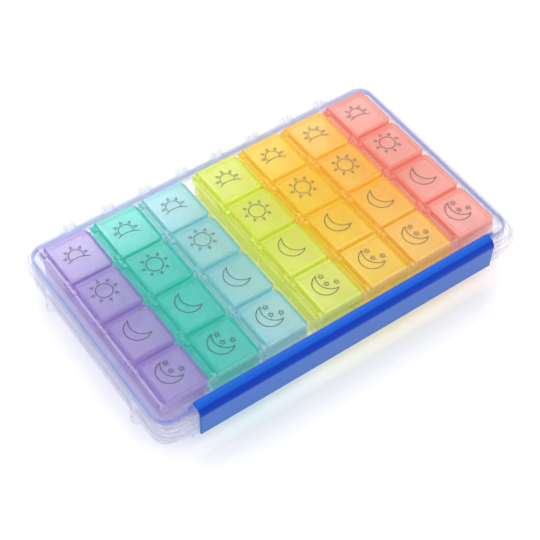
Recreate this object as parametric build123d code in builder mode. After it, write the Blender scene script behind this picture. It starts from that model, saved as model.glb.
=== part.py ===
import os
from math import cos, radians, sin

from build123d import *

os.makedirs("parts", exist_ok=True)

# Millimetres. X runs along the case, Y from the latch at the front to the hinge, Z up from the table.

# Day boxes and their flip lids
day_names = ("purple", "teal", "blue", "green", "yellow", "orange", "red")
dose_names = ("bedtime", "evening", "noon", "morning")  # front row to back row
dose_pitch = 25.4  # one compartment to the next
lid_gap = 0.8  # between two lids of one box
lid_width = 22.3
lid_height = 3.2
lid_skin = 1.2
lid_rim = 1.1
lid_corner_cut = 2.4  # corners on the opening side
lip_slope = 2.0  # width of the sloped shoulder on the opening side
lip_drop = 1.5
lip_wall = 1.6
edge_break = 0.5
box_height = 17.5  # to the top of the compartment walls
box_wall = 1.3
box_floor = 1.3
partition = 1.8
scoop_share = 0.46  # of the compartment's width, where its floor curves up to each wall
scoop_angle = 34.0
box_bottom_break = 1.2
box_end_inset = 0.2  # box end inside the edge of its lid
lip_overhang = 1.2  # the lid past the box wall on the opening side
lid_seat_gap = 0.1

# Flip lid hinge on the left of each box
ledge_width = 1.7
ledge_thickness = 1.2
ledge_drop = 0.9  # ledge under the wall top
pivot_inset = 1.25  # pivot inside the outer edge of the ledge
pivot_rise = 1.4  # pivot over the wall top
pivot_to_lid = 1.25
post_width = 3.0
end_post_width = 1.0
post_half = 1.1
post_cut = 0.6
post_round = 34.0  # degrees about the pivot, on the outer corner
ear_width = 2.2
ear_half = 1.1
ear_gap = 0.3
ear_root = 0.3
peg_radius = 0.6
peg_sides = 6
socket_sides = 6
peg_clearance = 0.06
peg_end_gap = 0.6  # peg tip to the middle of the lid gap

# Room on the left of each box in turn, then on the right of the last one
box_room = (0.5, 1.2, 0.6, 5.3, 1.2, 0.3, 0.7)
last_room = 1.6
box_end_room = 0.6

# Case lid
crown_wall = 1.1
crown_skin = 1.2
crown_corner = 3.2
crown_round = 2.0
crown_headroom = 2.1  # over the flip lids
rim_rise = 3.9  # rim over the tray wall
rim_thickness = 1.3
rim_corner = 8.8
rim_side = 1.45  # rim past the tray wall at the sides
rim_front = 4.5
skirt_thickness = 1.1
skirt_gap = 0.3
plug_side = 0.9  # plug past the crown
plug_ends = 2.0
plug_wall = 1.1
plug_clearance = 0.4

# Sealing ring
seal_width = 1.1
seal_gap = 0.1

# Case tray
cavity_corner = 6.0
tray_wall = 1.4
tray_floor = 1.4
tray_bottom_break = 1.4
wall_top = 16.9
flange_drop = 1.3
flange_thickness = 1.6
flange_lip_drop = 2.5
flange_lip = 1.2
flange_side = 2.45
flange_front = 6.0
flange_back = 4.7
flange_corner = 10.5
foot_height = 1.0
foot_radius = 3.0
foot_sides = 8
foot_spread = 72.0
foot_inset = 0.05  # foot inside the flange edge

# Back hinge of the case
knuckle_count = 8
knuckle_pitch = 20.4
knuckle_width = 5.0
knuckle_radius = 2.4
knuckle_sides = 8
knuckle_gap = 0.4
knuckle_web = 2.0
rod_radius = 1.2
rod_clearance = 0.07
rod_back = 3.6  # rod centre behind the tray wall
rod_rise = 1.4  # rod centre over the flange
rod_overrun = 2.5
rod_web = 1.4
hinge_room = 2.05  # rod centre behind the case lid
notch_wall = 0.5

# Latch bar along the front
latch_length = 160.0
latch_end_gap = 0.6
latch_wall = 1.3
latch_nose = 4.0
latch_flat = 1.2  # nose to the middle of the pivot barrel
latch_height = 17.2
latch_barrel = 1.2
latch_pivot_rise = 2.5  # over the rim
latch_to_crown = 4.3
latch_peg_radius = 0.9
latch_peg_clearance = 0.07
latch_peg_length = 3.0
latch_peg_room = 0.3
latch_rim_gap = 0.5  # inside of the bar to the case lid
latch_flange_gap = 0.6  # inside of the bar to the flange
ridge_reach = 0.4
ridge_height = 1.6
lug_gap = 0.4
lug_width = 4.0
lug_front = 1.8  # lug in front of the pivot
lug_height = 3.9
step_width = 4.4
step_height = 1.6
guard_width = 4.0
guard_drop = 1.8

# Heights
tray_base = foot_height
floor_top = tray_base + tray_floor
box_top = floor_top + box_height
pivot_z = box_top + pivot_rise
lid_base = box_top + lid_seat_gap
crown_under = lid_base + lid_height + crown_headroom
crown_top = crown_under + crown_skin
rim_top = wall_top + rim_rise
rim_under = rim_top - rim_thickness
flange_top = wall_top - flange_drop
flange_under = flange_top - flange_thickness
flange_bottom = flange_under - flange_lip_drop
skirt_bottom = flange_top + skirt_gap
rod_z = flange_top + rod_rise
latch_pivot_z = rim_top + latch_pivot_rise
latch_top = latch_pivot_z + latch_barrel

# Plan sizes, from the boxes outwards
lid_left = pivot_inset + pivot_to_lid
box_span = lid_left + lid_width
box_body = box_span - lip_overhang - ledge_width
scoop_run = scoop_share * (box_body - 2 * box_wall)
scoop_radius = scoop_run / sin(radians(scoop_angle))
scoop_top = box_floor + scoop_radius * (1 - cos(radians(scoop_angle)))
row_length = dose_pitch * len(dose_names)
box_length = row_length - lid_gap - 2 * box_end_inset
first_joint = -box_end_inset - lid_gap / 2  # middle of the lid gap ahead of the first lid
crown_inside_x = sum(box_room) + box_span * len(day_names) + last_room
crown_inside_y = row_length - lid_gap + 2 * box_end_room
crown_x = crown_inside_x + 2 * crown_wall
crown_y = crown_inside_y + 2 * crown_wall
plug_x = crown_x + 2 * plug_side
plug_y = crown_y + 2 * plug_ends
cavity_x = plug_x + 2 * plug_clearance
cavity_y = plug_y + 2 * plug_clearance
wall_x = cavity_x + 2 * tray_wall
wall_y = cavity_y + 2 * tray_wall
wall_corner = cavity_corner + tray_wall
plug_corner = cavity_corner - plug_clearance
flange_x = wall_x + 2 * flange_side
flange_y = wall_y + flange_front + flange_back
flange_mid = (flange_back - flange_front) / 2
flange_edge = -wall_y / 2 - flange_front
rod_y = wall_y / 2 + rod_back
rod_length = (knuckle_count - 1) * knuckle_pitch + knuckle_width + 2 * rod_overrun
rim_edge = -wall_y / 2 - rim_front
rim_back = rod_y - hinge_room
rim_x = wall_x + 2 * rim_side
rim_y = rim_back - rim_edge
rim_mid = (rim_back + rim_edge) / 2
latch_pivot_y = -crown_y / 2 - latch_to_crown
latch_face = latch_pivot_y - latch_flat - latch_nose
latch_inside = latch_face + latch_wall
recess_x = latch_length + 2 * latch_end_gap
lug_start = latch_length / 2 + lug_gap


def scooped_section(start, end):
    with BuildSketch() as section:
        with BuildLine():
            Line((end, scoop_top), (end, box_height))
            Line((end, box_height), (start, box_height))
            Line((start, box_height), (start, scoop_top))
            RadiusArc((start, scoop_top), (start + scoop_run, box_floor), -scoop_radius)
            Line((start + scoop_run, box_floor), (end - scoop_run, box_floor))
            RadiusArc((end - scoop_run, box_floor), (end, scoop_top), -scoop_radius)
        make_face()
    return section.sketch


def compartment(start, end):
    left = ledge_width + box_wall
    right = ledge_width + box_body - box_wall
    with BuildPart() as hollow:
        with BuildSketch(Plane.XZ.offset(-end)):
            add(scooped_section(left, right))
        extrude(amount=end - start)
        with BuildSketch(Plane.YZ.offset(left)):
            add(scooped_section(start, end))
        extrude(amount=right - left, mode=Mode.INTERSECT)
    return hollow.part


def compartment_ends(index):
    start = first_joint + index * dose_pitch + partition / 2
    end = first_joint + (index + 1) * dose_pitch - partition / 2
    return max(start, box_wall), min(end, box_length - box_wall)


hollows = [compartment(*compartment_ends(index)) for index in range(len(dose_names))]
post_spans = [(0, end_post_width), (box_length - end_post_width, box_length)]
for index in range(1, len(dose_names)):
    joint = first_joint + index * dose_pitch
    post_spans.append((joint - post_width / 2, joint + post_width / 2))

# Day box with its four hollows, the hinge ledge and the hinge posts
ledge_top = box_height - ledge_drop
post_pivot = box_height + pivot_rise
post_radius = post_half / cos(radians(45 - post_round / 2))
post_turn = post_radius * sin(radians(45 - post_round / 2))
with BuildPart() as box_form:
    with BuildSketch():
        with Locations((ledge_width, 0)):
            Rectangle(box_body, box_length, align=(Align.MIN, Align.MIN))
    extrude(amount=box_height)
    chamfer(box_form.edges().group_by(Axis.Z)[0], box_bottom_break)
    with BuildSketch(Plane.XY.offset(ledge_top - ledge_thickness)):
        Rectangle(ledge_width + box_wall / 2, box_length, align=(Align.MIN, Align.MIN))
    extrude(amount=ledge_thickness)
    for start, end in post_spans:
        with BuildSketch(Plane.XZ.offset(-end)):
            with BuildLine():
                RadiusArc(
                    (pivot_inset - post_half, post_pivot + post_turn),
                    (pivot_inset - post_turn, post_pivot + post_half),
                    post_radius,
                )
                Polyline(
                    (pivot_inset - post_turn, post_pivot + post_half),
                    (pivot_inset + post_half - post_cut, post_pivot + post_half),
                    (pivot_inset + post_half, post_pivot + post_half - post_cut),
                    (pivot_inset + post_half, ledge_top - ledge_thickness / 2),
                    (pivot_inset - post_half, ledge_top - ledge_thickness / 2),
                    (pivot_inset - post_half, post_pivot + post_turn),
                )
            make_face()
            with Locations((pivot_inset, post_pivot)):
                RegularPolygon(peg_radius + peg_clearance, socket_sides, major_radius=False, mode=Mode.SUBTRACT)
        extrude(amount=end - start)
    add(hollows, mode=Mode.SUBTRACT)

# Flip lid, its shell first and then the hinge ears with their pegs
lid_start = first_joint + lid_gap / 2
lid_end = first_joint + dose_pitch - lid_gap / 2
lid_right = lid_left + lid_width
lid_pivot = pivot_rise - lid_seat_gap
ear_start = post_width / 2 + ear_gap
ear_spans = (
    (first_joint + ear_start, first_joint + ear_start + ear_width),
    (first_joint + dose_pitch - ear_start - ear_width, first_joint + dose_pitch - ear_start),
)
peg_spans = (
    (first_joint + peg_end_gap, first_joint + ear_start),
    (first_joint + dose_pitch - ear_start, first_joint + dose_pitch - peg_end_gap),
)
with BuildPart() as lid_form:
    with BuildSketch(Plane.XZ.offset(-lid_end)):
        with BuildLine():
            Polyline(
                (lid_left, 0),
                (lid_left, lid_height - edge_break),
                (lid_left + edge_break, lid_height),
                (lid_right - lip_slope, lid_height),
                (lid_right, lid_height - lip_drop),
                (lid_right, 0),
                close=True,
            )
        make_face()
    extrude(amount=lid_end - lid_start)
    with BuildSketch(Plane.YZ.offset(lid_left)):
        with BuildLine():
            Polyline(
                (lid_start, 0),
                (lid_start, lid_height - edge_break),
                (lid_start + edge_break, lid_height),
                (lid_end - edge_break, lid_height),
                (lid_end, lid_height - edge_break),
                (lid_end, 0),
                close=True,
            )
        make_face()
    extrude(amount=lid_width, mode=Mode.INTERSECT)
    with BuildSketch() as plan:
        with Locations((lid_left, lid_start)):
            Rectangle(lid_width, lid_end - lid_start, align=(Align.MIN, Align.MIN))
        chamfer(plan.vertices().group_by(Axis.X)[-1], lid_corner_cut)
    extrude(amount=lid_height, mode=Mode.INTERSECT)
    with BuildSketch() as pocket:
        with Locations((lid_left + lid_rim, lid_start + lid_rim)):
            Rectangle(lid_width - lid_rim - lip_wall, lid_end - lid_start - 2 * lid_rim, align=(Align.MIN, Align.MIN))
        chamfer(pocket.vertices().group_by(Axis.X)[-1], lid_corner_cut - lip_wall / 2)
    extrude(amount=lid_height - lid_skin, mode=Mode.SUBTRACT)
    for start, end in ear_spans:
        with BuildSketch(Plane.XZ.offset(-end)):
            with BuildLine():
                Polyline(
                    (lid_left + ear_root, lid_pivot - ear_half + post_cut / 3),
                    (pivot_inset - ear_half + post_cut, lid_pivot - ear_half),
                    (pivot_inset - ear_half, lid_pivot - ear_half + post_cut),
                    (pivot_inset - ear_half, lid_pivot + ear_half - post_cut),
                    (pivot_inset - ear_half + post_cut, lid_pivot + ear_half),
                    (lid_left + ear_root, lid_pivot + ear_half - post_cut / 3),
                    close=True,
                )
            make_face()
        extrude(amount=end - start)
    for start, end in peg_spans:
        with BuildSketch(Plane.XZ.offset(-end)):
            with Locations((pivot_inset, lid_pivot)):
                RegularPolygon(peg_radius, peg_sides)
        extrude(amount=end - start)

# Each day box with its four lids, set out from the left of the case
box_left = -crown_inside_x / 2
box_front = -crown_inside_y / 2 + box_end_room + box_end_inset
for day, room in zip(day_names, box_room):
    box_left += room
    with BuildPart() as day_box:
        with Locations((box_left, box_front, floor_top)):
            add(box_form.part)
    day_box.part.label = f"day_box_{day}"
    export_step(day_box.part, f"parts/day_box_{day}.step")
    for index, dose in enumerate(dose_names):
        with BuildPart() as flip_lid:
            with Locations((box_left, box_front + index * dose_pitch, lid_base)):
                add(lid_form.part)
        flip_lid.part.label = f"lid_{day}_{dose}"
        export_step(flip_lid.part, f"parts/lid_{day}_{dose}.step")
    box_left += box_span

# Case tray
with BuildPart() as case_tray:
    with BuildSketch(Plane.XY.offset(tray_base)):
        RectangleRounded(wall_x, wall_y, wall_corner)
    extrude(amount=wall_top - tray_base)
    chamfer(case_tray.edges().group_by(Axis.Z)[0], tray_bottom_break)
    # Flange with its turned-down lip, set back behind the latch bar
    with BuildSketch(Plane.XY.offset(flange_bottom)):
        with Locations((0, flange_mid)):
            RectangleRounded(flange_x, flange_y, flange_corner)
        with Locations((0, flange_edge)):
            Rectangle(
                recess_x,
                latch_inside + latch_flange_gap - flange_edge,
                align=(Align.CENTER, Align.MIN),
                mode=Mode.SUBTRACT,
            )
    extrude(amount=flange_top - flange_bottom)
    with BuildSketch(Plane.XY.offset(flange_bottom)):
        with Locations((0, flange_mid)):
            RectangleRounded(flange_x - 2 * flange_lip, flange_y - 2 * flange_lip, flange_corner - flange_lip)
        with Locations((0, flange_edge)):
            Rectangle(
                recess_x + 2 * flange_lip,
                -wall_y / 2 + tray_wall - flange_edge,
                align=(Align.CENTER, Align.MIN),
                mode=Mode.SUBTRACT,
            )
        RectangleRounded(wall_x, wall_y, wall_corner, mode=Mode.SUBTRACT)
    extrude(amount=flange_lip_drop, mode=Mode.SUBTRACT)
    # Guards beside the ends of the latch bar
    with BuildSketch(Plane.XY.offset(flange_bottom - guard_drop)):
        for side in (-1, 1):
            with Locations((side * (recess_x + guard_width) / 2, flange_edge)):
                Rectangle(guard_width, flange_corner, align=(Align.CENTER, Align.MIN))
        with Locations((0, flange_mid)):
            RectangleRounded(flange_x, flange_y, flange_corner, mode=Mode.INTERSECT)
            RectangleRounded(
                flange_x - 2 * flange_lip,
                flange_y - 2 * flange_lip,
                flange_corner - flange_lip,
                mode=Mode.SUBTRACT,
            )
    extrude(amount=guard_drop + flange_lip_drop)
    # Web under the hinge rod, notched with the flange for the knuckles
    with BuildSketch(Plane.XY.offset(flange_top)):
        with Locations((0, rod_y)):
            Rectangle(rod_length, rod_web)
    extrude(amount=rod_rise)
    with BuildSketch(Plane.XY.offset(flange_bottom)):
        with Locations((0, wall_y / 2 + notch_wall)):
            with GridLocations(knuckle_pitch, 1, knuckle_count, 1):
                Rectangle(
                    knuckle_width + 2 * knuckle_gap,
                    rod_back + knuckle_radius,
                    align=(Align.CENTER, Align.MIN),
                )
    extrude(amount=rod_z + rod_radius - flange_bottom, mode=Mode.SUBTRACT)
    with BuildSketch(Plane.YZ.offset(-rod_length / 2)):
        with Locations((rod_y, rod_z)):
            Circle(rod_radius)
    extrude(amount=rod_length)
    # Feet
    with BuildSketch():
        with GridLocations(flange_x - 2 * foot_radius - 2 * foot_inset, foot_spread, 2, 2):
            RegularPolygon(foot_radius, foot_sides)
    extrude(amount=flange_under)
    with BuildSketch(Plane.XY.offset(floor_top)):
        RectangleRounded(cavity_x, cavity_y, cavity_corner)
    extrude(amount=wall_top - floor_top, mode=Mode.SUBTRACT)
case_tray.part.label = "case_tray"
export_step(case_tray.part, "parts/case_tray.step")

# Case lid
with BuildPart() as case_lid:
    with BuildSketch(Plane.XY.offset(skirt_bottom)):
        with Locations((0, rim_mid)):
            RectangleRounded(rim_x, rim_y, rim_corner)
        with Locations((0, rim_edge)):
            Rectangle(
                recess_x,
                latch_inside + latch_rim_gap - rim_edge,
                align=(Align.CENTER, Align.MIN),
                mode=Mode.SUBTRACT,
            )
    extrude(amount=rim_top - skirt_bottom)
    with BuildSketch(Plane.XY.offset(rim_top)):
        RectangleRounded(crown_x, crown_y, crown_corner)
    extrude(amount=crown_top - rim_top)
    fillet(case_lid.edges().group_by(Axis.Z)[-1], crown_round)
    # Groove for the sealing ring between the skirt and the plug
    with BuildSketch(Plane.XY.offset(skirt_bottom)):
        with Locations((0, rim_mid)):
            RectangleRounded(rim_x - 2 * skirt_thickness, rim_y - 2 * skirt_thickness, rim_corner - skirt_thickness)
        with Locations((0, rim_edge)):
            Rectangle(
                recess_x + 2 * skirt_thickness,
                latch_inside + latch_rim_gap + skirt_thickness - rim_edge,
                align=(Align.CENTER, Align.MIN),
                mode=Mode.SUBTRACT,
            )
        RectangleRounded(plug_x, plug_y, plug_corner, mode=Mode.SUBTRACT)
    extrude(amount=rim_under - skirt_bottom, mode=Mode.SUBTRACT)
    with BuildSketch(Plane.XY.offset(skirt_bottom)):
        RectangleRounded(plug_x - 2 * plug_wall, plug_y - 2 * plug_wall, plug_corner - plug_wall)
    extrude(amount=rim_under - skirt_bottom, mode=Mode.SUBTRACT)
    with BuildSketch(Plane.XY.offset(rim_under)):
        RectangleRounded(crown_inside_x, crown_inside_y, crown_corner - crown_wall)
    extrude(amount=crown_under - rim_under, mode=Mode.SUBTRACT)
    # Knuckles around the tray's hinge rod
    for index in range(knuckle_count):
        knuckle_x = (index - (knuckle_count - 1) / 2) * knuckle_pitch
        with BuildSketch(Plane.YZ.offset(knuckle_x - knuckle_width / 2)):
            with Locations((rod_y, rod_z)):
                RegularPolygon(knuckle_radius, knuckle_sides)
                Rectangle(hinge_room + skirt_thickness / 2, knuckle_web, align=(Align.MAX, Align.CENTER))
                RegularPolygon(rod_radius + rod_clearance, knuckle_sides, major_radius=False, mode=Mode.SUBTRACT)
        extrude(amount=knuckle_width)
    # Lugs with a lower step beside them, for the pegs of the latch bar
    with BuildSketch(Plane.XY.offset(rim_top)):
        for side in (-1, 1):
            with Locations((side * (lug_start + lug_width / 2), latch_pivot_y - lug_front)):
                Rectangle(lug_width, 2 * lug_front, align=(Align.CENTER, Align.MIN))
    extrude(amount=lug_height)
    with BuildSketch(Plane.XY.offset(rim_top)):
        for side in (-1, 1):
            with Locations((side * (lug_start + lug_width + step_width / 2), latch_pivot_y - lug_front)):
                Rectangle(step_width, 2 * lug_front, align=(Align.CENTER, Align.MIN))
    extrude(amount=step_height)
    peg_reach = latch_length / 2 + latch_peg_length + latch_peg_room
    for start in (lug_start, -peg_reach):
        with BuildSketch(Plane.YZ.offset(start)):
            with Locations((latch_pivot_y, latch_pivot_z)):
                RegularPolygon(latch_peg_radius + latch_peg_clearance, peg_sides, major_radius=False)
        extrude(amount=peg_reach - lug_start, mode=Mode.SUBTRACT)
case_lid.part.label = "case_lid"
export_step(case_lid.part, "parts/case_lid.step")

# Sealing ring in the groove of the case lid
with BuildPart() as seal_ring:
    seal_x = cavity_x + tray_wall
    seal_y = cavity_y + tray_wall
    seal_corner = cavity_corner + tray_wall / 2
    with BuildSketch(Plane.XY.offset(wall_top + seal_gap)):
        RectangleRounded(seal_x + seal_width, seal_y + seal_width, seal_corner + seal_width / 2)
        RectangleRounded(seal_x - seal_width, seal_y - seal_width, seal_corner - seal_width / 2, mode=Mode.SUBTRACT)
    extrude(amount=rim_under - wall_top - seal_gap)
seal_ring.part.label = "seal_ring"
export_step(seal_ring.part, "parts/seal_ring.step")

# Latch bar: front wall, rounded nose and pivot barrel in one section, with a peg at each end
latch_bottom = latch_top - latch_height
nose_z = latch_top - latch_nose
nose_y = latch_face + latch_nose
with BuildPart() as latch_bar:
    with BuildSketch(Plane.YZ.offset(-latch_length / 2)):
        with BuildLine():
            Line((latch_inside, latch_bottom), (latch_face, latch_bottom))
            Line((latch_face, latch_bottom), (latch_face, nose_z))
            RadiusArc((latch_face, nose_z), (nose_y, latch_top), latch_nose)
            Line((nose_y, latch_top), (latch_pivot_y, latch_top))
            Line((latch_pivot_y, latch_top), (latch_pivot_y, latch_top - latch_wall))
            Line((latch_pivot_y, latch_top - latch_wall), (nose_y, latch_top - latch_wall))
            RadiusArc((nose_y, latch_top - latch_wall), (latch_inside, nose_z), latch_wall - latch_nose)
            Line((latch_inside, nose_z), (latch_inside, latch_bottom))
        make_face()
        with Locations((latch_pivot_y, latch_pivot_z)):
            Circle(latch_barrel)
        with BuildLine():
            Polyline(
                (latch_inside - latch_wall / 2, flange_bottom - ridge_height),
                (latch_inside, flange_bottom - ridge_height),
                (latch_inside + ridge_reach, flange_bottom - ridge_height / 2),
                (latch_inside, flange_bottom),
                (latch_inside - latch_wall / 2, flange_bottom),
                close=True,
            )
        make_face()
    extrude(amount=latch_length)
    for start in (latch_length / 2, -latch_length / 2 - latch_peg_length):
        with BuildSketch(Plane.YZ.offset(start)):
            with Locations((latch_pivot_y, latch_pivot_z)):
                RegularPolygon(latch_peg_radius, peg_sides)
        extrude(amount=latch_peg_length)
latch_bar.part.label = "latch_bar"
export_step(latch_bar.part, "parts/latch_bar.step")
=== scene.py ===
import math

import bmesh
import bpy
from mathutils import Matrix, Vector


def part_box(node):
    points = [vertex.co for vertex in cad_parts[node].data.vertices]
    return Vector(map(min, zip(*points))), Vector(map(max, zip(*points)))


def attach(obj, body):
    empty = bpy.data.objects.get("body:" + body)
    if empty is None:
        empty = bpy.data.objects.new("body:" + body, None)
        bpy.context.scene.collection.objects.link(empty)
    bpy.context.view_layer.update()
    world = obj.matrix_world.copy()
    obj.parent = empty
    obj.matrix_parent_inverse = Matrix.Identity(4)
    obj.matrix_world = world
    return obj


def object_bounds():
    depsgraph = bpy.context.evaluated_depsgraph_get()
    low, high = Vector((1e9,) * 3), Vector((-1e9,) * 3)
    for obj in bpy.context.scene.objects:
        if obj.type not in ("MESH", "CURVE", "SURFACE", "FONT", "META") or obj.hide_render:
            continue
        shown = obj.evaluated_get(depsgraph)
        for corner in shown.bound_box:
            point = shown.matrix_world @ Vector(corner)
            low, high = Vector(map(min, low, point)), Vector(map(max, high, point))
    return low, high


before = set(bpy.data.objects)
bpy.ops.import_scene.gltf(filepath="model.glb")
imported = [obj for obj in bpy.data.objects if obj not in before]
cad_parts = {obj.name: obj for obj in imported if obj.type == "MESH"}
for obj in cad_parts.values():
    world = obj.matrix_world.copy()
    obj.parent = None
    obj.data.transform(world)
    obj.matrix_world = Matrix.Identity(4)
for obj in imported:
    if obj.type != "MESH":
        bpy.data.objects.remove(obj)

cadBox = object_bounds()  # before anything is added
scene = bpy.context.scene
mm = 0.001
days = ("purple", "teal", "blue", "green", "yellow", "orange", "red")
doses = ("bedtime", "evening", "noon", "morning")  # front row to back row
print("frame loaded:", len(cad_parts), "nodes")


# Node helpers
noiseReach = (0.3, 0.7)  # where nearly all of a noise lies
grainHeight = 0.05  # mm, of the moulded surface


def linear(red, green, blue):
    def channel(value):
        value = value / 255
        return value / 12.92 if value <= 0.04045 else ((value + 0.055) / 1.055) ** 2.4
    return (channel(red), channel(green), channel(blue))


def newMaterial(name):
    material = bpy.data.materials.new(name)
    material.use_nodes = True
    material.node_tree.nodes.clear()
    return material, material.node_tree


def node(tree, kind, **settings):
    made = tree.nodes.new(kind)
    for key, value in settings.items():
        setattr(made, key, value)
    return made


def noise(tree, scale, detail=3.0):
    place = node(tree, "ShaderNodeTexCoord")
    texture = node(tree, "ShaderNodeTexNoise")
    texture.inputs["Scale"].default_value = scale
    texture.inputs["Detail"].default_value = detail
    tree.links.new(place.outputs["Object"], texture.inputs["Vector"])
    return texture.outputs["Fac"]


def mapped(tree, source, start, end, low, high, bend):
    span = node(tree, "ShaderNodeMapRange", interpolation_type=bend)
    for name, value in zip(("From Min", "From Max", "To Min", "To Max"), (start, end, low, high)):
        span.inputs[name].default_value = value
    tree.links.new(source, span.inputs["Value"])
    return span.outputs["Result"]


def spread(tree, source, low, high):  # a noise, over its whole reach
    return mapped(tree, source, *noiseReach, low, high, "LINEAR")


def spanned(tree, source, reach, low, high):  # an easy step from low to high
    return mapped(tree, source, *reach, low, high, "SMOOTHSTEP")


def mixed(tree, first, second, share):  # each of the two is a colour or a socket
    mix = node(tree, "ShaderNodeMix", data_type="RGBA")
    for name, colour in (("A", first), ("B", second)):
        if isinstance(colour, tuple):
            mix.inputs[name].default_value = (*colour, 1)
        else:
            tree.links.new(colour, mix.inputs[name])
    tree.links.new(share, mix.inputs["Factor"])
    return mix.outputs["Result"]


def sums(tree, operation, first, second, **settings):  # each of the two is a number or a socket
    made = node(tree, "ShaderNodeMath", operation=operation, **settings)
    for index, value in enumerate((first, second)):
        if isinstance(value, (int, float)):
            made.inputs[index].default_value = value
        else:
            tree.links.new(value, made.inputs[index])
    return made.outputs[0]


def largest(tree, first, second):
    return sums(tree, "MAXIMUM", first, second)


def placeOf(tree, space):
    place = node(tree, "ShaderNodeTexCoord")
    split = node(tree, "ShaderNodeSeparateXYZ")
    tree.links.new(place.outputs[space], split.inputs["Vector"])
    return split.outputs


def distanceOut(tree, space, middle, half):  # 1 at the edge of a rectangle in plan, 0 at its middle
    place = placeOf(tree, space)
    shares = []
    for axis, centre, reach in zip(("X", "Y"), middle, half):
        offset = sums(tree, "SUBTRACT", place[axis], centre)
        size = sums(tree, "ABSOLUTE", offset, 0)
        shares.append(sums(tree, "DIVIDE", size, reach))
    return largest(tree, *shares)


def baseColour(shader):  # what the shader's colour comes from so far
    return shader.inputs["Base Color"].links[0].from_socket


def plasticNodes(tree, look):
    shader = node(tree, "ShaderNodeBsdfPrincipled")
    deeper = tuple(c * look["cloudDepth"] for c in look["colour"])
    cloudy = spread(tree, noise(tree, look["cloudScale"]), 0, 1)
    tree.links.new(mixed(tree, look["colour"], deeper, cloudy), shader.inputs["Base Color"])
    rough = spread(tree, noise(tree, look["roughScale"]), *look["roughness"])
    tree.links.new(rough, shader.inputs["Roughness"])
    bump = node(tree, "ShaderNodeBump")
    bump.inputs["Strength"].default_value = look["bump"]
    bump.inputs["Distance"].default_value = grainHeight * mm
    tree.links.new(noise(tree, look["grainScale"], detail=2), bump.inputs["Height"])
    tree.links.new(bump.outputs["Normal"], shader.inputs["Normal"])
    shader.inputs["IOR"].default_value = look["ior"]
    shader.inputs["Specular IOR Level"].default_value = look["gloss"]
    return shader


def milky(tree, shader, look, body):  # body is the share of a surface that isn't seen through
    scatter = node(tree, "ShaderNodeBsdfTranslucent")
    tree.links.new(baseColour(shader), scatter.inputs["Color"])
    solid = node(tree, "ShaderNodeMixShader")
    solid.inputs["Fac"].default_value = look["scatter"]
    tree.links.new(shader.outputs["BSDF"], solid.inputs[1])
    tree.links.new(scatter.outputs["BSDF"], solid.inputs[2])
    through = node(tree, "ShaderNodeBsdfTransparent")
    through.inputs["Color"].default_value = (*look["through"], 1)
    rays = node(tree, "ShaderNodeLightPath")
    lit = largest(tree, rays.outputs["Is Diffuse Ray"], rays.outputs["Is Shadow Ray"])
    stopped = spanned(tree, lit, (0, 1), 1, look["toLamps"])
    mix = node(tree, "ShaderNodeMixShader")
    tree.links.new(sums(tree, "MULTIPLY", body, stopped), mix.inputs["Fac"])
    tree.links.new(through.outputs["BSDF"], mix.inputs[1])
    tree.links.new(solid.outputs["Shader"], mix.inputs[2])
    out = node(tree, "ShaderNodeOutputMaterial")
    tree.links.new(mix.outputs["Shader"], out.inputs["Surface"])
    return through


def solidMaterial(name, look):
    material, tree = newMaterial(name)
    shader = plasticNodes(tree, look)
    out = node(tree, "ShaderNodeOutputMaterial")
    tree.links.new(shader.outputs["BSDF"], out.inputs["Surface"])
    return material, tree, shader


milkySwing = {"scale": 40, "share": 0.05}  # how the body of a milky plastic wanders


def milkyMaterial(name, look):
    material, tree = newMaterial(name)
    shader = plasticNodes(tree, look)
    low, high = look["body"] - milkySwing["share"], look["body"] + milkySwing["share"]
    milky(tree, shader, look, spread(tree, noise(tree, milkySwing["scale"]), low, high))
    return material


def dress(objects, material):
    for piece in objects:
        piece.data.materials.clear()
        piece.data.materials.append(material)


softEdges = {
    "weld": 0.001,  # mm
    "squareFrom": 75,  # degrees, so the flat sides of pegs and knuckles stay as they are
}


def soften(objects, look, edges):  # rounds the square edges of a moulded piece, where light gathers
    for piece in objects:
        piece.data.materials.append(edges)
        weld = piece.modifiers.new("weld", "WELD")
        weld.merge_threshold = softEdges["weld"] * mm
        bevel = piece.modifiers.new("soft_edges", "BEVEL")
        bevel.width = look["edge"] * mm
        bevel.segments = look["steps"]
        bevel.limit_method = "ANGLE"
        bevel.angle_limit = math.radians(softEdges["squareFrom"])
        bevel.loop_slide = False
        bevel.use_clamp_overlap = False  # else the shortest edge would narrow them all
        bevel.material = 1


# Clear case, polished, milky in its thick rim and where it is seen edge on
clearCase = {
    "colour": (0.88, 0.89, 0.93),
    "cloudScale": 30,
    "cloudDepth": 0.985,
    "roughScale": 60,
    "roughness": (0.1, 0.18),
    "grainScale": 900,
    "bump": 0.01,
    "ior": 1.46,
    "gloss": 0.5,
    "scatter": 0.5,
    "through": (0.978, 0.979, 0.985),
    "throughEdge": (0.89, 0.895, 0.925),
    "shadeTurn": (0.4, 0.95),  # from face on to edge on
    "toLamps": 0.2,  # share of the body that stops a lamp's light
    "crown": (0.0936, 0.0521),  # half sizes in plan
    "bodyTurn": (0.3, 0.95),
    "faceOn": 0.015,
    "wallOn": 0.05,  # crown walls seen edge on
    "edgeOn": 0.24,  # rim and tray seen edge on
    "crownEnd": (1.001, 1.005),  # these ranges are shares of the crown
    # a thin milky line just inside the crown's edge, a painted highlight
    "crownHighlightLine": ((0.976, 0.98), (0.983, 0.988)),
    "crownHighlight": 0.26,
    "rimEnd": (1.001, 1.01),
    "rim": 0.12,
    "edge": 0.2,  # mm
    "steps": 1,
}
# the rounded edges of the clear case are painted grey, as painted shade for the dark lines that refraction
# draws along clear edges
clearEdgeShade = {
    **clearCase,
    "colour": (0.42, 0.44, 0.55),
    "through": (0.97, 0.972, 0.985),
    "outline": (0.0962, 0.0546),  # half sizes in plan, beyond which the edges show most
    "outlineEnd": (0.995, 1.005),
    "inner": 0.12,
    "outer": 0.42,
}


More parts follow.
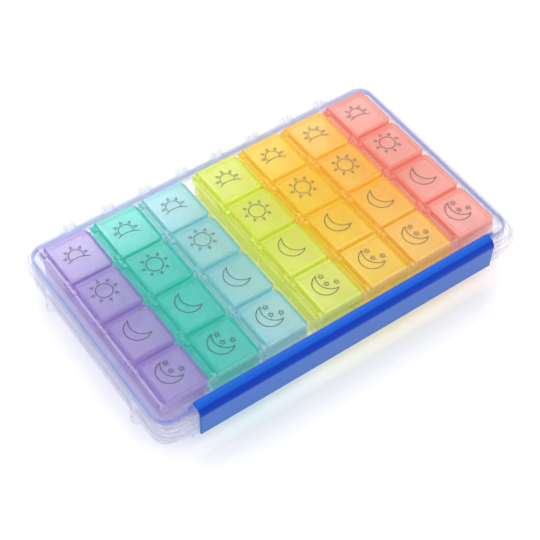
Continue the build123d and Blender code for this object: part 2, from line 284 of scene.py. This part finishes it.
def clearMaterial():
    look = clearCase
    material, tree = newMaterial("clear_polished_plastic")
    shader = plasticNodes(tree, look)
    tilt = node(tree, "ShaderNodeLayerWeight")
    away = distanceOut(tree, "Object", (0, 0), look["crown"])
    turned = spanned(tree, tilt.outputs["Facing"], look["bodyTurn"], look["faceOn"], look["edgeOn"])
    most = spanned(tree, away, look["crownEnd"], look["wallOn"], look["edgeOn"])
    tree.links.new(most, turned.node.inputs["To Max"])
    # painted highlight: a thin band of milky body along the crown's top edge
    lineStart, lineEnd = look["crownHighlightLine"]
    rising = spanned(tree, away, lineStart, 0, look["crownHighlight"])
    falling = spanned(tree, away, lineEnd, look["crownHighlight"], 0)
    line = sums(tree, "MINIMUM", rising, falling)
    rim = spanned(tree, away, look["rimEnd"], 0, look["rim"])
    through = milky(tree, shader, look, largest(tree, turned, largest(tree, line, rim)))
    shaded = spanned(tree, tilt.outputs["Facing"], look["shadeTurn"], 0, 1)
    tree.links.new(mixed(tree, look["through"], look["throughEdge"], shaded), through.inputs["Color"])
    return material


# painted shade on the bevelled edges of the clear case
def shadedEdgeMaterial():
    look = clearEdgeShade
    material, tree = newMaterial("clear_plastic_edges")
    shader = plasticNodes(tree, look)
    away = distanceOut(tree, "Object", (0, 0), look["outline"])
    milky(tree, shader, look, spanned(tree, away, look["outlineEnd"], look["inner"], look["outer"]))
    return material


clearPieces = [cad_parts["case_tray"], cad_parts["case_lid"]]
dress(clearPieces, clearMaterial())
soften(clearPieces, clearCase, shadedEdgeMaterial())

# Day boxes and flip lids in tinted, milky plastic, deeper at the rims of the lids
dayTints = {
    "purple": (165, 141, 206),
    "teal": (65, 208, 187),
    "blue": (145, 211, 218),
    "green": (224, 237, 80),
    "yellow": (250, 207, 42),
    "orange": (252, 199, 60),
    "red": (243, 147, 131),
}
dayPlastic = {
    "cloudScale": 60,
    "cloudDepth": 0.97,
    "roughScale": 140,
    "roughness": (0.1, 0.14),
    "grainScale": 1800,
    "bump": 0.02,
    "ior": 1.5,
    "gloss": 0.5,
    "scatter": 0.45,
    "throughTint": {"lid": 0.2, "box": 0.12},  # of the tint, each time it is looked through
    "toLamps": 0.2,
    "thinning": 0.55,
    "body": {"lid": 0.33, "box": 0.26},
    "panelMiddle": (0.548, 0.5),  # of the piece's length and width
    "panelHalf": (0.452, 0.5),
    "rim": (0.8, 0.9),  # where it begins and is full, as shares of the panel
    "rimShare": {"lid": 1, "box": 0.3},
    "rimBody": 0.7,
    "rimTint": 2.0,
    "edge": 0.22,  # mm
    "steps": 3,
    # paler colour on the rounded lid edges, a painted highlight
    "highlightTint": 0.9,
    "edgeBody": 0.62,
}


def deepened(colour, power):
    return tuple(c ** power for c in colour)


def dayLook(day, piece):
    tint = deepened(linear(*dayTints[day]), dayPlastic["thinning"])
    return {**dayPlastic, "colour": tint, "through": deepened(tint, dayPlastic["throughTint"][piece])}


def dayMaterial(day, piece):
    look = dayLook(day, piece)
    material, tree = newMaterial(f"{day}_milky_{piece}")
    shader = plasticNodes(tree, look)
    away = distanceOut(tree, "Generated", look["panelMiddle"], look["panelHalf"])
    rim = spanned(tree, away, look["rim"], 0, look["rimShare"][piece])
    edged = mixed(tree, baseColour(shader), deepened(look["colour"], look["rimTint"]), rim)
    tree.links.new(edged, shader.inputs["Base Color"])
    milky(tree, shader, look, spanned(tree, rim, (0, 1), look["body"][piece], look["rimBody"]))
    return material


# the rounded edges of the lids are painted paler, as a painted highlight
def lidHighlightMaterial(day):
    look = dayLook(day, "lid")
    highlightColour = deepened(look["colour"], look["highlightTint"])
    return milkyMaterial(f"{day}_lid_edges", {**look, "colour": highlightColour, "body": look["edgeBody"]})


for day in days:
    lids = [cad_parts[f"lid_{day}_{dose}"] for dose in doses]
    dress([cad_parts[f"day_box_{day}"]], dayMaterial(day, "box"))
    dress(lids, dayMaterial(day, "lid"))
    soften(lids, dayPlastic, lidHighlightMaterial(day))

# Latch bar in satin blue, with painted shade in a deeper band under its nose and a painted sheen that
# lightens its front face
latchLook = {
    "colour": linear(16, 88, 196),
    "cloudScale": 60,
    "cloudDepth": 0.94,
    "roughScale": 300,
    "roughness": (0.28, 0.36),
    "grainScale": 3000,
    "bump": 0.06,
    "ior": 1.58,
    "gloss": 0.1,
    # painted shade on the nose, and a painted sheen of the white floor on the front face
    "noseShadeColour": linear(0, 54, 168),
    "faceSheenColour": linear(72, 110, 186),
    "edgeColour": linear(24, 84, 196),
    "noseFoot": (0.0195, 0.0215),  # heights
    "noseTop": (0.0236, 0.0243),
    "edge": 0.26,  # mm
    "steps": 3,
}


def latchMaterial():
    look = latchLook
    material, tree, shader = solidMaterial("satin_blue_plastic", look)
    height = placeOf(tree, "Object")["Z"]
    # painted shade over the nose, with the painted sheen on the face below it
    rising = spanned(tree, height, look["noseFoot"], 0, 1)
    falling = spanned(tree, height, look["noseTop"], 0, 1)
    band = sums(tree, "SUBTRACT", rising, falling, use_clamp=True)
    face = mixed(tree, look["faceSheenColour"], baseColour(shader), rising)
    tree.links.new(mixed(tree, face, look["noseShadeColour"], band), shader.inputs["Base Color"])
    return material


def latchEdgeMaterial():
    return solidMaterial("satin_blue_edges", {**latchLook, "colour": latchLook["edgeColour"]})[0]


latchBar = [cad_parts["latch_bar"]]
dress(latchBar, latchMaterial())
soften(latchBar, latchLook, latchEdgeMaterial())

# Sealing ring in matt blue silicone
sealLook = {
    "colour": linear(40, 88, 220),
    "cloudScale": 120,
    "cloudDepth": 0.9,
    "roughScale": 500,
    "roughness": (0.45, 0.6),
    "grainScale": 4000,
    "bump": 0.1,
    "ior": 1.42,
    "gloss": 0.3,
    "scatter": 0.4,
    "through": (0.86, 0.9, 0.99),
    "toLamps": 0.5,
    "body": 0.2,
    "edge": 0.25,  # mm
    "steps": 2,
    "edgeBody": 0.62,
}
sealRing = [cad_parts["seal_ring"]]
dress(sealRing, milkyMaterial("blue_silicone", sealLook))
sealEdges = milkyMaterial("blue_silicone_edges", {**sealLook, "body": sealLook["edgeBody"]})
soften(sealRing, sealLook, sealEdges)
print("plastics done")

# Printed pictures on the flip lids, drawn in millimetres from the middle of the panel's front edge
printLook = {
    "colour": linear(72, 74, 78),
    "cloudScale": 700,
    "cloudDepth": 0.8,
    "roughScale": 900,
    "roughness": (0.4, 0.6),
    "grainScale": 5000,
    "bump": 0.1,
    "ior": 1.45,
    "gloss": 0.2,
}
prints = {
    "line": 0.4,
    "fineLine": 0.33,
    "lift": 0.01,
    "thickness": 0.03,
    "mitre": (0.35, 1.4),  # least cosine at a corner, most widths that it reaches
    "middleFromRight": 12.2,  # middle of the picture from the lid's opening edge
    "panelFromFront": 0.5,
    "sunRadius": 3.85,
    "sunMiddle": (0.0, 14.0),
    "sunSteps": 48,
    "sunRays": 8,
    "rayReach": 5.7,
    "drop": ((-0.35, 0.62), (-0.62, 0.3), (-0.62, -0.3), (-0.35, -0.62), (0.85, 0.0)),  # outward, across
    "horizon": ((-5.54, 10.01), (5.22, 8.69)),
    "horizonRise": 1.6,
    "horizonSteps": 20,
    "risingSun": ((-3.43, 11.06), (2.68, 10.55)),
    "risingHeight": 4.95,
    "risingSteps": 36,
    "risingMiddle": (-0.25, 12.32),
    "risingRays": (-3, 41, 88, 132, 173),
    "risingReach": 4.95,
    "moonHorns": {"evening": ((-0.3, 19.8), (5.2, 9.3)), "bedtime": ((-0.7, 19.1), (4.35, 8.6))},
    "moonOuter": 7.6,
    "moonOuterSteps": 44,
    "moonInner": 3.6,
    "moonInnerSteps": 28,
    "stars": ((1.15, 17.7), (0.9, 13.05), (5.3, 11.6)),
    "starPoints": 5,
    "starRadius": 1.35,
    "starInner": 0.45,  # share of the radius
    "starLine": 0.3,
}


def pointing(degrees):
    turn = math.radians(degrees)
    return Vector((math.cos(turn), math.sin(turn)))


def leftOf(along):
    return Vector((-along.y, along.x))


def bow(ends, rise, count):  # points of an arc that stands rise to the left of its chord
    start, end = Vector(ends[0]), Vector(ends[1])
    half = (end - start).length / 2
    along = (end - start).normalized()
    side = leftOf(along)
    radius = (half * half + rise * rise) / (2 * rise)
    middle = (start + end) / 2 + side * (rise - radius)
    sweep = 2 * math.atan(rise / half)
    turns = [sweep * (2 * step / count - 1) for step in range(count + 1)]
    return [middle + radius * (math.cos(t) * side + math.sin(t) * along) for t in turns]


def ring(middle, radius, count):
    return [Vector(middle) + radius * pointing(360 * step / count) for step in range(count)]


def star(middle):
    points = []
    for step in range(2 * prints["starPoints"]):
        reach = prints["starRadius"] * (1 if step % 2 == 0 else prints["starInner"])
        points.append(Vector(middle) + reach * pointing(90 + 180 * step / prints["starPoints"]))
    return points


def raysRound(middle, reach, angles):
    strokes = []
    for degrees in angles:
        outward = pointing(degrees)
        place = Vector(middle) + reach * outward
        drop = [place + outward * a + leftOf(outward) * b for a, b in prints["drop"]]
        strokes.append((drop, True, prints["fineLine"]))
    return strokes


def morningStrokes():
    horizon = bow(prints["horizon"], prints["horizonRise"], prints["horizonSteps"])
    rising = bow(prints["risingSun"], prints["risingHeight"], prints["risingSteps"])
    rays = raysRound(prints["risingMiddle"], prints["risingReach"], prints["risingRays"])
    return [(horizon, False, prints["line"]), (rising, False, prints["line"])] + rays


def noonStrokes():
    sun = ring(prints["sunMiddle"], prints["sunRadius"], prints["sunSteps"])
    angles = [360 * step / prints["sunRays"] for step in range(prints["sunRays"])]
    return [(sun, True, prints["line"])] + raysRound(prints["sunMiddle"], prints["rayReach"], angles)


def moonStrokes(dose):
    horns = prints["moonHorns"][dose]
    outer = bow(horns, -prints["moonOuter"], prints["moonOuterSteps"])
    inner = bow(horns, -prints["moonInner"], prints["moonInnerSteps"])
    return [(outer + inner[-2:0:-1], True, prints["line"])]


def bedtimeStrokes():
    stars = [(star(middle), True, prints["starLine"]) for middle in prints["stars"]]
    return moonStrokes("bedtime") + stars


pictures = {
    "morning": morningStrokes(),
    "noon": noonStrokes(),
    "evening": moonStrokes("evening"),
    "bedtime": bedtimeStrokes(),
}


def layStroke(mesh, points, closed, width, origin):
    count = len(points)
    leastCosine, mostWidths = prints["mitre"]
    heights = (prints["lift"], prints["lift"] + prints["thickness"])
    rows = []
    for index, point in enumerate(points):
        before = points[index - 1] if closed or index else point
        after = points[(index + 1) % count] if closed or index < count - 1 else point
        ahead = (after - point).normalized() if after != point else (point - before).normalized()
        behind = (point - before).normalized() if point != before else ahead
        side = leftOf((ahead + behind).normalized())
        reach = min(width / 2 / max(side.dot(leftOf(ahead)), leastCosine), width * mostWidths)
        corners = [point + side * reach, point - side * reach]
        rows.append([mesh.verts.new(origin + Vector((c.x, c.y, h)) * mm) for h in heights for c in corners])
    pairs = list(zip(rows, rows[1:]))
    if closed:
        pairs.append((rows[-1], rows[0]))
    for first, second in pairs:
        for a, b in ((0, 1), (3, 2), (2, 0), (1, 3)):
            mesh.faces.new((first[a], second[a], second[b], first[b]))
    if not closed:
        for end in (rows[0], rows[-1]):
            mesh.faces.new((end[0], end[1], end[3], end[2]))


def printPicture(day, dose, ink):
    low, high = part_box(f"lid_{day}_{dose}")
    front = low.y + prints["panelFromFront"] * mm
    origin = Vector((high.x - prints["middleFromRight"] * mm, front, high.z))
    mesh = bmesh.new()
    for points, closed, width in pictures[dose]:
        layStroke(mesh, points, closed, width, origin)
    bmesh.ops.recalc_face_normals(mesh, faces=mesh.faces)
    data = bpy.data.meshes.new(f"print_{day}_{dose}")
    mesh.to_mesh(data)
    mesh.free()
    picture = bpy.data.objects.new(f"print_{day}_{dose}", data)
    scene.collection.objects.link(picture)
    dress([picture], ink)
    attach(picture, f"lid_{day}_{dose}")


printInk = solidMaterial("printed_grey_ink", printLook)[0]
for day in days:
    for dose in doses:
        printPicture(day, dose, printInk)
print("pictures printed:", len(days) * len(doses))

# Camera, as the photograph was taken
view = {
    "azimuth": -37.652,
    "elevation": 51.781,
    "roll": 2.661,
    "distance": 0.60198,
    "target": (-0.01307, -0.01654, 0.0232),
    "lens": 90.6,
    "sensor": 36,
}


def placeCamera():
    turn = math.radians(view["azimuth"])
    lift = math.radians(view["elevation"])
    back = Vector((math.sin(turn) * math.cos(lift), -math.cos(turn) * math.cos(lift), math.sin(lift)))
    right = Vector((math.cos(turn), math.sin(turn), 0))
    up = back.cross(right)
    tilt = math.radians(view["roll"])
    across = right * math.cos(tilt) + up * math.sin(tilt)
    upright = up * math.cos(tilt) - right * math.sin(tilt)
    place = Matrix.Translation(Vector(view["target"]) + back * view["distance"])
    camera = bpy.data.objects.new("camera", bpy.data.cameras.new("camera"))
    scene.collection.objects.link(camera)
    camera.data.lens = view["lens"]
    camera.data.sensor_width = view["sensor"]
    camera.matrix_world = place @ Matrix((across, upright, back)).transposed().to_4x4()
    scene.camera = camera


placeCamera()

# White floor, soft room light and three lamp strips
studio = {
    "floorSize": 6.0,
    "floorDrop": 0.02,  # mm
    "floorColour": (0.93, 0.93, 0.93),
    "roomLight": 1.18,
    "roomSeen": 1.0,  # white behind the object and in its gloss
    "lamps": {  # strips that face straight down and show in the back and front rows of lids
        "wide": {"place": (0.5, 0.8, 1.0), "size": (0.8, 0.13), "power": 2.55},
        "left": {"place": (0.26, 0.8, 1.0), "size": (0.34, 0.13), "power": 2.0},
        "front": {"place": (0.6, 0.527, 1.0), "size": (0.44, 0.09), "power": 1.1},
    },
    "bounces": 12,
    "diffuseBounces": 5,
    "layersThrough": 96,  # clear and milky walls that one ray can pass
}


def floorMaterial():
    material, tree = newMaterial("white_floor")
    shader = node(tree, "ShaderNodeBsdfDiffuse")
    shader.inputs["Color"].default_value = (*studio["floorColour"], 1)
    out = node(tree, "ShaderNodeOutputMaterial")
    tree.links.new(shader.outputs["BSDF"], out.inputs["Surface"])
    return material


def layFloor():
    half = studio["floorSize"] / 2
    data = bpy.data.meshes.new("floor")
    corners = [(-half, -half, 0), (half, -half, 0), (half, half, 0), (-half, half, 0)]
    data.from_pydata(corners, [], [(0, 1, 2, 3)])
    floor = bpy.data.objects.new("floor", data)
    floor.location.z = cadBox[0].z - studio["floorDrop"] * mm
    scene.collection.objects.link(floor)
    dress([floor], floorMaterial())


def lightRoom():
    world = bpy.data.worlds.new("room")
    world.use_nodes = True
    scene.world = world
    tree = world.node_tree
    tree.nodes.clear()
    rays = node(tree, "ShaderNodeLightPath").outputs
    seen = largest(tree, rays["Is Camera Ray"], rays["Is Glossy Ray"])
    seen = largest(tree, seen, rays["Is Transmission Ray"])
    strength = mapped(tree, seen, 0, 1, studio["roomLight"], studio["roomSeen"], "LINEAR")
    sky = node(tree, "ShaderNodeBackground")
    sky.inputs["Color"].default_value = (1, 1, 1, 1)
    tree.links.new(strength, sky.inputs["Strength"])
    out = node(tree, "ShaderNodeOutputWorld")
    tree.links.new(sky.outputs["Background"], out.inputs["Surface"])


def hangLamps():
    for name, lamp in studio["lamps"].items():
        data = bpy.data.lights.new(name, "AREA")
        data.shape = "RECTANGLE"
        data.size, data.size_y = lamp["size"]
        data.energy = lamp["power"]
        hung = bpy.data.objects.new(name, data)
        hung.location = lamp["place"]
        scene.collection.objects.link(hung)


layFloor()
lightRoom()
hangLamps()
scene.view_settings.view_transform = "Standard"
scene.cycles.max_bounces = studio["bounces"]
scene.cycles.diffuse_bounces = studio["diffuseBounces"]
scene.cycles.transparent_max_bounces = studio["layersThrough"]
print("room lit")
